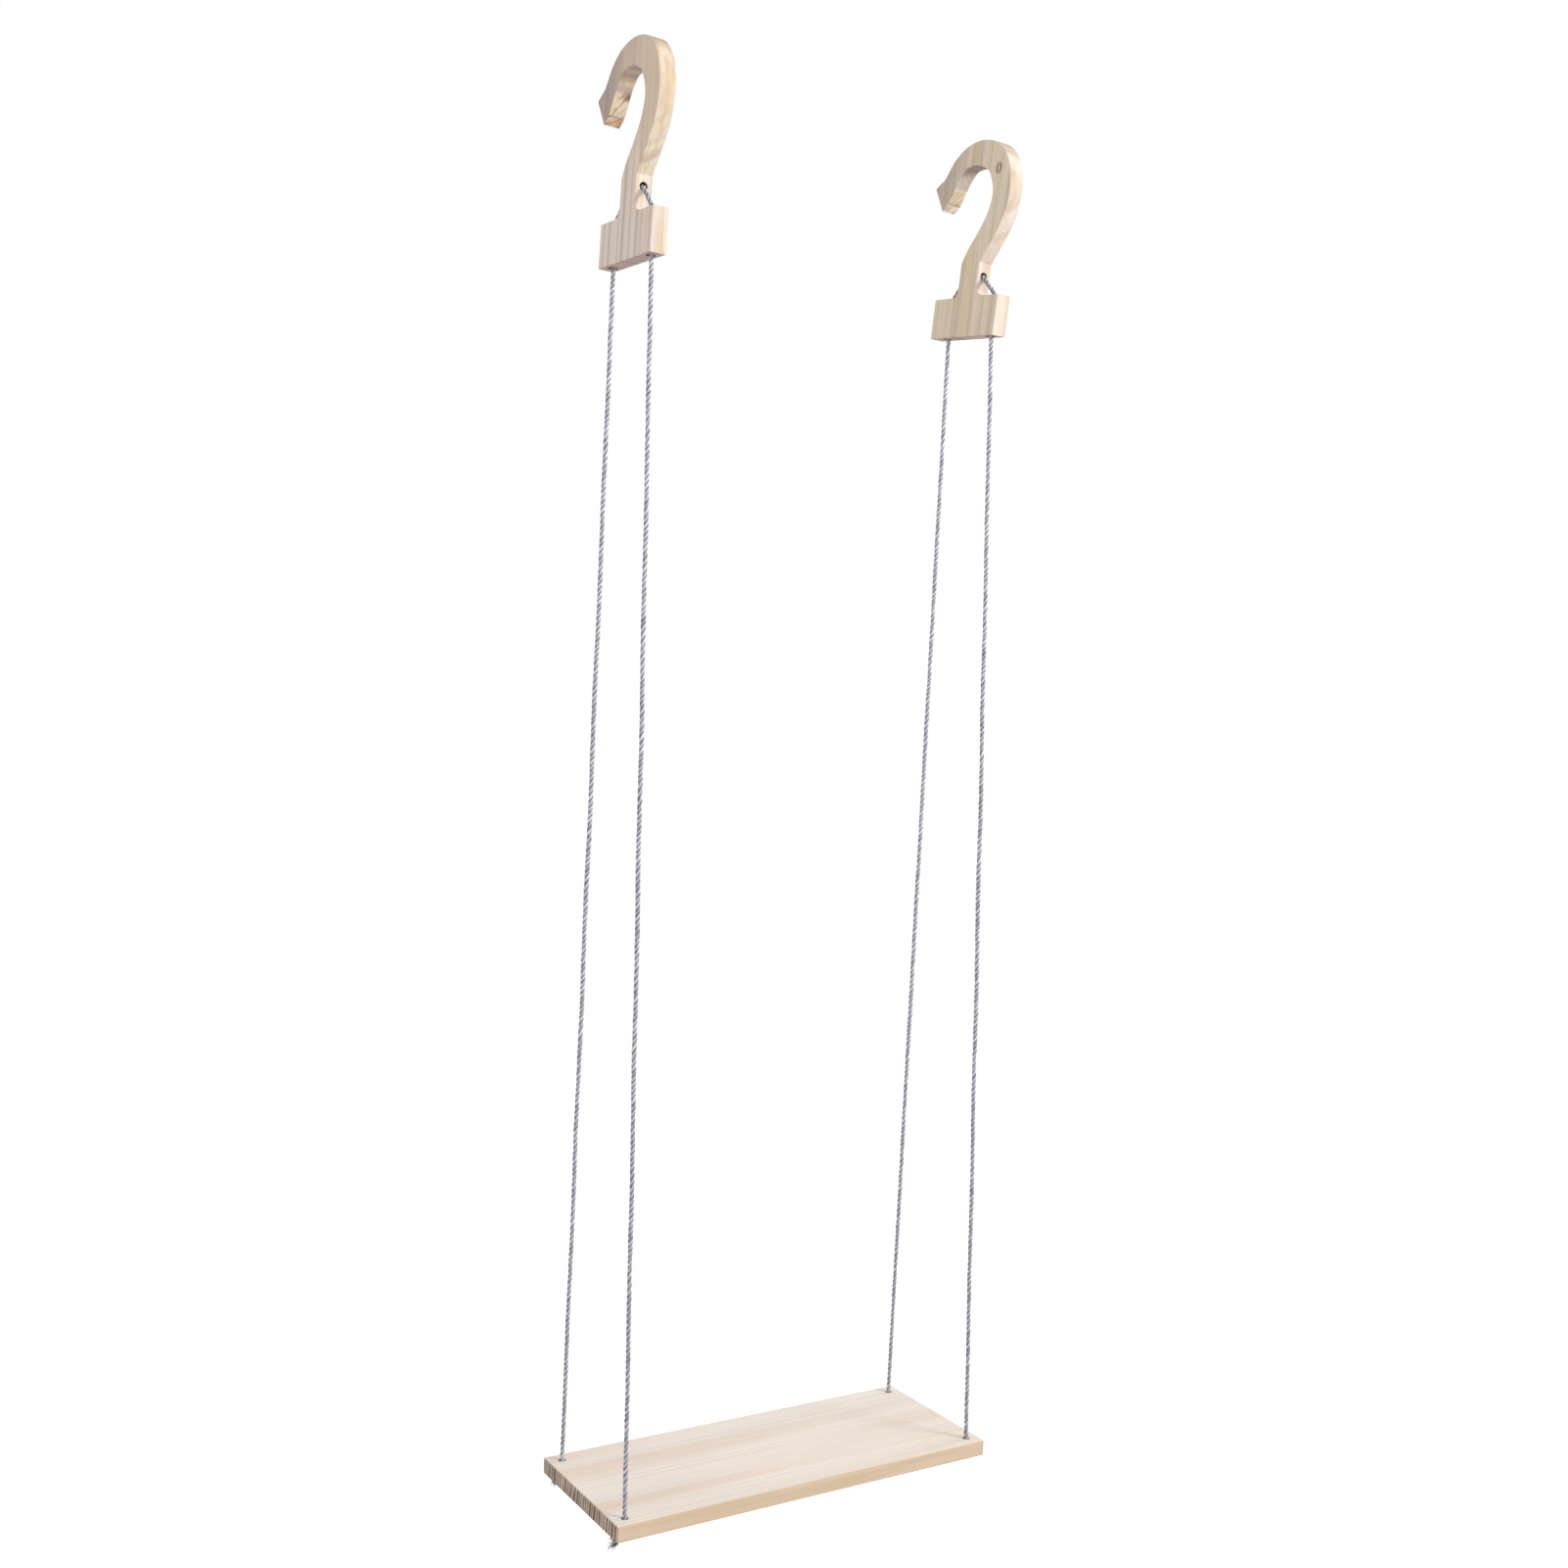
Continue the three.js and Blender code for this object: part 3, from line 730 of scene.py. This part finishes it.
def cotton_material(name, colours):
    """Grey cotton: yarns run slantwise round each strand, painted shade darkens the lay's valleys,
    and painted light and shade make the rope lighter high up and darker towards the board. The rope
    is darker inside the hooks."""
    n = Nodes(bpy.data.materials.new(name))
    crown, around, along, strand = [n.attribute(key) for key in ("crown", "around", "along", "strand")]
    yarn_phase = n.total(n.product(around, YARNS_IN_STRAND), n.product(along, YARN_TURNS))
    yarn = n.math("SINE", n.product(yarn_phase, 2 * math.pi))
    fibres = n.combine(
        n.product(around, COTTON_LINT_SCALE["around"]), n.product(along, COTTON_LINT_SCALE["along"]), strand)
    lint = n.noise(fibres, **COTTON_NOISES["lint"])
    stretches = n.combine(
        n.product(along, COTTON_PATCH_SCALE["along"]), n.product(strand, COTTON_PATCH_SCALE["strand"]))
    patch = n.noise(stretches, **COTTON_NOISES["patch"])
    # Painted shade in the lay's valleys, varied along the rope by a noise
    drawn = n.combine(n.product(along, COTTON_VALLEY_SHADE_SCALE), COTTON_VALLEY_SHADE_SEED)
    painted_shade = n.noise(drawn, **COTTON_NOISES["painted_shade"])
    valley_shade = n.product(
        n.spread(crown, *COTTON_SPANS["valley_shade"], smooth=True), n.spread(painted_shade, *COTTON_SPANS["painted_shade"]))
    colour = n.mix(valley_shade, paint(colours["crown"]), paint(colours["valley_shade"]))
    tone = n.total(
        n.spread(yarn, *COTTON_SPANS["yarn"]),
        n.spread(lint, *COTTON_SPANS["lint"]),
        n.spread(patch, *COTTON_SPANS["patch"]))
    # Painted light and shade by height, and darker inside the hooks
    height = n.parts(n.node("ShaderNodeTexCoord").outputs["Object"])[2]
    tone = n.product(
        tone, n.spread(height, *COTTON_SPANS["height"]), n.spread(height, *COTTON_SPANS["in_hook"]))
    relief = n.total(n.product(yarn, COTTON_RELIEF["yarn"]), n.product(lint, COTTON_RELIEF["lint"]))
    return n.surfaced({
        **COTTON_SURFACE, "Base Color": n.toned(colour, tone), "Normal": n.bump(relief, COTTON_BUMP),
    })


cotton, shaded_frayed_cotton = [cotton_material(name, colours) for name, colours in COTTON_COLOURS.items()]

# Rope routes


def side_x(side):
    return side["sign"] * (BOARD_LENGTH / 2 - HOLE_INSET)


def hole_place(side, end):
    return Vector((side_x(side), ENDS[end] * (BOARD_DEPTH / 2 - HOLE_INSET), -RAIL_TO_BOARD))


def hung(side, across, up):
    """A point of the hook's own frame once the hook hangs leaning on the rail."""
    y, z = across - SADDLE_ACROSS, up - SADDLE_UP
    lean = side["lean"]
    return Vector((
        side_x(side),
        y * math.cos(lean) - z * math.sin(lean),
        y * math.sin(lean) + z * math.cos(lean)))


def rope_in(side, end):
    """Across the hook, where the rope enters its bore: against the wall next to the stem."""
    return ENDS[end] * (side["bores"][end] - bore_slack)


def rope_out(side, end):
    """Across the hook, where the rope leaves its bore below: against the front wall."""
    return ENDS[end] * side["bores"][end] - bore_slack


mouths = {(name, end): hung(side, rope_out(side, end), 0) for name, side in SIDES.items() for end in ENDS}
top_pivot_level = min(mouth.z for mouth in mouths.values()) - TOP_PIVOT_DROP
board_pivot_level = -RAIL_TO_BOARD - BOARD_PIVOT_DEPTH


def half_route(name, end):
    """From the middle of the cross hole over its lip, round into the bore and down into the board."""
    side, sign = SIDES[name], ENDS[end]
    lip = (STEM_WIDTH / 2 - CROSSING_BEND_INSET, side["cross_hole"] - BEND_RADIUS)
    bore = (abs(rope_in(side, end)) - BEND_RADIUS, BLOCK_HEIGHT - BORE_BEND_INSET)
    slant = math.atan2(lip[1] - bore[1], bore[0] - lip[0])
    route = [hung(side, 0, side["cross_hole"])]
    for (across, up), start, stop in ((lip, 0, slant), (bore, slant, math.pi / 2)):
        for turn in np.linspace(start, stop, BEND_POINTS):
            route.append(hung(
                side, sign * (across + BEND_RADIUS * math.sin(turn)), up + BEND_RADIUS * math.cos(turn)))
    mouth, bottom = mouths[name, end], hole_place(side, end)
    bottom.z = board_pivot_level
    pivot = mouth.lerp(bottom, (mouth.z - top_pivot_level) / (mouth.z - bottom.z))
    return [*route, mouth, pivot, bottom]


def arc_lengths(line):
    return np.r_[0, np.cumsum(np.linalg.norm(np.diff(line, axis=0), axis=1))]


def resampled(points, step):
    points = np.asarray([tuple(p) for p in points], float)
    length = arc_lengths(points)
    at = np.linspace(0, length[-1], max(2, round(length[-1] / step) + 1))
    return np.stack([np.interp(at, length, points[:, k]) for k in range(3)], 1)


def smoothed(points, passes):
    """The line through the points in short steps, with each drawn a few times towards its
    neighbours."""
    line = resampled(points, SMOOTH_STEP)
    for _ in range(passes):
        line[1:-1] = (line[:-2] + 2 * line[1:-1] + line[2:]) / 4
    return line


def swayed(line):
    """The line with the slow waves that a light load leaves in a rope, dying out at both ends."""
    length = arc_lengths(line)
    fade = np.sqrt(np.sin(math.pi * length / length[-1]))
    for axis in (0, 1):
        for wave_length, height in SWAYS.items():
            phase = random.uniform(0, 2 * math.pi)
            line[:, axis] += fade * height * np.sin(2 * math.pi * length / wave_length + phase)
    return line


# Rope surfaces


def carried_frames(line):
    """Tangents, and two directions across the line that turn with it as little as they can."""
    tangents = np.gradient(line, axis=0)
    tangents /= np.linalg.norm(tangents, axis=1)[:, None]
    first = np.cross(tangents[0], (0.0, 1.0, 0.0))
    if np.linalg.norm(first) < NEARLY_PARALLEL:
        first = np.cross(tangents[0], (1.0, 0.0, 0.0))
    normals = [first / np.linalg.norm(first)]
    for tangent in tangents[1:]:
        normal = normals[-1] - tangent * np.dot(normals[-1], tangent)
        normals.append(normal / np.linalg.norm(normal))
    normals = np.array(normals)
    return tangents, normals, np.cross(tangents, normals)


def lobed_section():
    """Angle, reach, place in the lobe and lobe number of each point round the rope's section."""
    turn = 2 * math.pi * np.arange(SECTION_POINTS) / SECTION_POINTS
    lobe_turn = 2 * math.pi / STRANDS
    lobe = np.floor((turn + lobe_turn / 2) / lobe_turn) % STRANDS
    off = (turn + lobe_turn / 2) % lobe_turn - lobe_turn / 2
    centre = 1 - STRAND_SHARE
    reach = centre * np.cos(off) + np.sqrt(STRAND_SHARE**2 - (centre * np.sin(off)) ** 2)
    return turn, reach, off / lobe_turn, lobe


def tube_faces(rings, count):
    index = np.arange(rings * count).reshape(rings, count)
    here, there = index[:-1], index[1:]
    sides = np.stack([here, np.roll(here, -1, 1), np.roll(there, -1, 1), there], -1)
    return [*sides.reshape(-1, 4).tolist(), index[0][::-1].tolist(), index[-1].tolist()]


def laid_rope(name, line, diameter, drift=LAY_DRIFT):
    """A rope of twisted strands along a line, closed at both ends."""
    _, normals, sides = carried_frames(line)
    length = arc_lengths(line)
    turn, reach, off, lobe = lobed_section()
    spans = max(2, round(length[-1] / SWELL_STEP))
    along = np.linspace(0, length[-1], spans)
    wobble = np.interp(length, along, random.normal(0, drift, spans))
    swell = np.interp(length, along, 1 + SWELL * np.clip(random.normal(0, 1, spans), *SWELL_LIMITS))
    angles = turn[None, :] + (2 * math.pi * length / LAY_LENGTH + wobble)[:, None]
    radii = diameter / 2 * reach[None, :] * swell[:, None]
    ring = line[:, None, :] + normals[:, None, :] * (radii * np.cos(angles))[..., None]
    ring += sides[:, None, :] * (radii * np.sin(angles))[..., None]
    rope = make_piece(name, ring.reshape(-1, 3), tube_faces(len(line), SECTION_POINTS), cotton)
    crown = (reach - reach.min()) / (reach.max() - reach.min())
    rings = len(line)
    set_attributes(
        rope, crown=np.tile(crown, rings), around=np.tile(off, rings), strand=np.tile(lobe, rings),
        along=np.repeat(length / MM, SECTION_POINTS))
    return rope


def lint_on(name, line):
    """Short loose fibres that stand off the rope all along it, each a thin ribbon in two parts."""
    tangents, normals, sides = carried_frames(line)
    count = int(arc_lengths(line)[-1] * LINT_PER_METRE)
    at = random.integers(1, len(line) - 1, count)
    angle = random.uniform(0, 2 * math.pi, count)[:, None]
    out = normals[at] * np.cos(angle) + sides[at] * np.sin(angle)
    round_about = np.cross(tangents[at], out)
    reach = LINT_LENGTH * random.uniform(*LINT_REACH_SHARES, (count, 1))
    lean = tangents[at] * random.normal(0, LINT_LEAN, (count, 1))
    lean += round_about * random.normal(0, LINT_LEAN, (count, 1))
    root = line[at] + out * LINT_ROOT_SHARE * CROWN_DIAMETER
    middle = root + (out * LINT_MIDDLE_SHARES["out"] + lean * LINT_MIDDLE_SHARES["lean"]) * reach
    last = (out * LINT_TIP_SHARES["out"] + lean * LINT_TIP_SHARES["lean"]) * reach
    tip = middle + last * LINT_LAST_SHARE
    across = np.cross(lean, out)
    across *= LINT_WIDTH / 2 / (np.linalg.norm(across, axis=1)[:, None] + TINY)
    points = np.stack([root - across, root + across, middle + across, middle - across, tip], 1)
    first = np.arange(count)[:, None] * points.shape[1]
    faces = [*(first + (0, 1, 2, 3)).tolist(), *(first + (3, 2, 4)).tolist()]
    lint = make_piece(name, points.reshape(-1, 3), faces, cotton)
    set_attributes(lint, crown=LINT_CROWN, around=0.0, along=0.0, strand=0.0)
    return lint


for name, side in SIDES.items():
    front, back = half_route(name, "front"), half_route(name, "back")
    route = resampled(smoothed([*reversed(front), *back[1:]], SMOOTH_PASSES), RING_STEP)
    first, last = np.flatnonzero(route[:, 2] > top_pivot_level)[[0, -1]]
    route[:first] = swayed(route[:first])
    route[last + 1:] = swayed(route[last + 1:])
    rope = laid_rope(f"{name}_rope", route, CROWN_DIAMETER)
    lint = lint_on(f"{name}_lint", route)
    for piece in (rope, lint):
        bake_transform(piece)
    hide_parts(f"{name}_rope_loop", f"{name}_front_fall", f"{name}_back_fall")

# Wood


def eased_copy(node, piece_name, own_frame, material):
    """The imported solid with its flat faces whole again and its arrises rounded, in its own frame."""
    mesh = bpy.data.meshes.new(piece_name)
    shape = bmesh.new()
    shape.from_mesh(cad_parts[node].data)
    bmesh.ops.transform(shape, matrix=own_frame.inverted(), verts=shape.verts)
    bmesh.ops.remove_doubles(shape, verts=shape.verts, dist=MERGE_DISTANCE)
    bmesh.ops.dissolve_limit(
        shape, angle_limit=FLAT_ANGLE, verts=shape.verts, edges=shape.edges, delimit={"NORMAL"})
    bmesh.ops.recalc_face_normals(shape, faces=shape.faces)
    shape.to_mesh(mesh)
    shape.free()
    piece = smooth_piece(piece_name, mesh, material)
    piece.matrix_world = own_frame
    bevel = piece.modifiers.new("eased", "BEVEL")
    bevel.width = ARRIS_WIDTH
    bevel.segments = ARRIS_STEPS
    bevel.limit_method = "ANGLE"
    bevel.angle_limit = ARRIS_ANGLE
    weighted = piece.modifiers.new("flats", "WEIGHTED_NORMAL")
    weighted.keep_sharp = False
    weighted.weight = FLATS_WEIGHT
    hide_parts(node)
    return piece


def hook_frame(side):
    place = Matrix.Translation((side_x(side), 0, 0))
    saddle = Matrix.Translation((0, -SADDLE_ACROSS, -SADDLE_UP))
    return place @ Matrix.Rotation(side["lean"], 4, "X") @ saddle


def hook_holes(side):
    """The two bores down through the block and the hole across the stem, in millimetres."""
    bores = [
        {"axis": 2, "centre": (0.0, ENDS[end] * side["bores"][end] / MM), **BORE_WALL} for end in ENDS
    ]
    return [*bores, {"axis": 1, "centre": (0.0, side["cross_hole"] / MM), **CROSS_HOLE_WALL}]


def board_holes():
    """The four holes down through the board's corners, in millimetres."""
    places = [hole_place(side, end) / MM for side in SIDES.values() for end in ENDS]
    return [{"axis": 1, "centre": (place.y, place.x), **BOARD_HOLE_WALL} for place in places]


board_frame = Matrix.Translation((0, 0, -RAIL_TO_BOARD - BOARD_THICKNESS / 2))
board_pine = pine_material("board_pine", BOARD_LOOK, board_holes())
board = eased_copy("shelf_board", "pine_board", board_frame, board_pine)
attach(board, "shelf")
for name, look in (("left", LEFT_LOOK), ("right", RIGHT_LOOK)):
    pine = pine_material(f"{name}_hook_pine", look, hook_holes(SIDES[name]))
    hook = eased_copy(f"{name}_hook", f"pine_hook_{name}", hook_frame(SIDES[name]), pine)
    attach(hook, "hooks")

# Knots


def add_yarn(vertices, faces, line):
    """Adds one tapering yarn along a line to a mesh in the making."""
    _, normals, across = carried_frames(line)
    first = len(vertices)
    start, end = YARN_DIAMETER / 2, YARN_END_RADIUS
    for step, (point, normal, side) in enumerate(zip(line, normals, across)):
        radius = start + (end - start) * step / (len(line) - 1)
        for k in range(YARN_SIDES):
            turn = 2 * math.pi * k / YARN_SIDES
            vertices.append(point + radius * (normal * math.cos(turn) + side * math.sin(turn)))
    faces += [tuple(first + k for k in face) for face in tube_faces(len(line), YARN_SIDES)]


def frayed_tuft(name, line, length):
    """The end of a line come apart into its strands and yarns."""
    tip, tangent = line[-1], (line[-1] - line[-4]) / np.linalg.norm(line[-1] - line[-4])
    vertices, faces = [], []
    _, normals, across = carried_frames(line)
    for strand in range(STRANDS):
        turn = 2 * math.pi * strand / STRANDS
        out = math.cos(turn) * normals[-1] + math.sin(turn) * across[-1]
        root = tip - tangent * YARN_ROOT_BACK + out * KNOT_ROPE * YARN_ROOT_SHARE
        for _ in range(FRAY_YARNS):
            spread = out * random.uniform(*YARN_SPREAD_SHARES) + random.normal(0, YARN_SCATTER, 3)
            drop = np.array((0, 0, -1.0)) * random.uniform(*YARN_DROP_SHARES)
            heading = tangent + spread * YARN_OPENING
            heading /= np.linalg.norm(heading)
            reach = length * random.uniform(*YARN_REACH_SHARES)
            steps = np.linspace(0, 1, YARN_POINTS)[:, None]
            start = root + random.normal(0, YARN_ROOT_SCATTER, 3)
            bend = (drop + spread * YARN_CURL) * YARN_DROOP
            add_yarn(vertices, faces, start + reach * (heading * steps + bend * steps**2))
    tuft = make_piece(name, vertices, faces, shaded_frayed_cotton)
    set_attributes(tuft, crown=YARN_CROWN, around=0.0, along=0.0, strand=0.0)
    return tuft


def knot_and_tuft(name, place, tail_turn, fray_length):
    """The knot in its pocket under the board, with its lead up the hole and its frayed tail."""
    floor_level = KNOT_POCKET_DEPTH - BOARD_THICKNESS
    own = Matrix.Translation(place + Vector((0, 0, floor_level))) @ Matrix.Rotation(tail_turn, 4, "Z")
    lead = [-floor_level - BOARD_PIVOT_DEPTH - KNOT_LEAD, KNOT_LEAD]
    points = [Vector((0, 0, height)) for height in lead]
    drop = Vector((0, 0, KNOT_MIDDLE_DROP))
    points += [Vector((x, y, z * KNOT_SQUASH)) * KNOT_ROPE - drop for x, y, z in KNOT_TURNS]
    line = smoothed([own @ point for point in points], KNOT_SMOOTH_PASSES)
    rope = laid_rope(f"{name}_rope_knot", line, KNOT_ROPE, KNOT_LAY_DRIFT)
    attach(rope, "shelf")
    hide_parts(f"{name}_knot")
    tuft = frayed_tuft(f"{name}_tuft", line, fray_length)
    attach(tuft, "shelf")


for name, side in SIDES.items():
    for end in ENDS:
        knot_and_tuft(f"{name}_{end}", hole_place(side, end), side["tail_turn"], side["fray"][end])

# Floor, room, lamps and camera

floor_nodes = Nodes(bpy.data.materials.new("floor_white"))
seen = floor_nodes.node("ShaderNodeLightPath").outputs["Is Camera Ray"]
floor_white = floor_nodes.surfaced({
    "Base Color": paint(FLOOR_COLOUR),
    "Roughness": 1.0,
    "Specular IOR Level": 0.0,
    "Emission Color": opaque(WHITE),
    "Emission Strength": floor_nodes.product(seen, FLOOR_GLOW),
})
half = FLOOR_SIZE / 2
corners = [(x, y, -FLOOR_DROP) for x, y in ((-half, -half), (half, -half), (half, half), (-half, half))]
make_piece("floor", corners, [(0, 1, 2, 3)], floor_white)

world = bpy.data.worlds.new("studio")
bpy.context.scene.world = world
sky = Nodes(world)
room = sky.tree.nodes["Background"]
sky.put(room.inputs["Color"], opaque(ROOM_TINT))
sky.put(room.inputs["Strength"], ROOM_LIGHT)
white = sky.node("ShaderNodeBackground", Color=opaque(WHITE))
path = sky.node("ShaderNodeLightPath").outputs
shown = sky.node("ShaderNodeMixShader", Fac=sky.math("MAXIMUM", path["Is Camera Ray"], path["Is Glossy Ray"]))
sky.put(shown.inputs[1], room.outputs["Background"])
sky.put(shown.inputs[2], white.outputs["Background"])
sky.put(sky.tree.nodes["World Output"].inputs["Surface"], shown.outputs["Shader"])

for name, settings in LAMPS.items():
    lamp = bpy.data.lights.new(name, "AREA")
    lamp.shape = "DISK"
    lamp.size, lamp.energy, lamp.color = settings["size"], settings["power"], settings["colour"]
    holder = new_object(name, lamp)
    holder.location = settings["place"]
    holder.rotation_euler = (Vector(MIDDLE) - holder.location).to_track_quat("-Z", "Y").to_euler()
    holder.visible_camera = False

camera = bpy.data.cameras.new("camera")
camera.lens = CAMERA_LENS
camera.shift_x, camera.shift_y = CAMERA_SHIFT
camera.clip_start, camera.clip_end = CAMERA_CLIP
holder = new_object("camera", camera)
holder.matrix_world = (
    Matrix.Translation(CAMERA_PLACE)
    @ Matrix.Rotation(CAMERA_HEADING, 4, "Z")
    @ Matrix.Rotation(math.pi / 2 + CAMERA_TILT, 4, "X")
    @ Matrix.Rotation(CAMERA_ROLL, 4, "Z"))
bpy.context.scene.camera = holder
bpy.context.scene.view_settings.view_transform = "Standard"
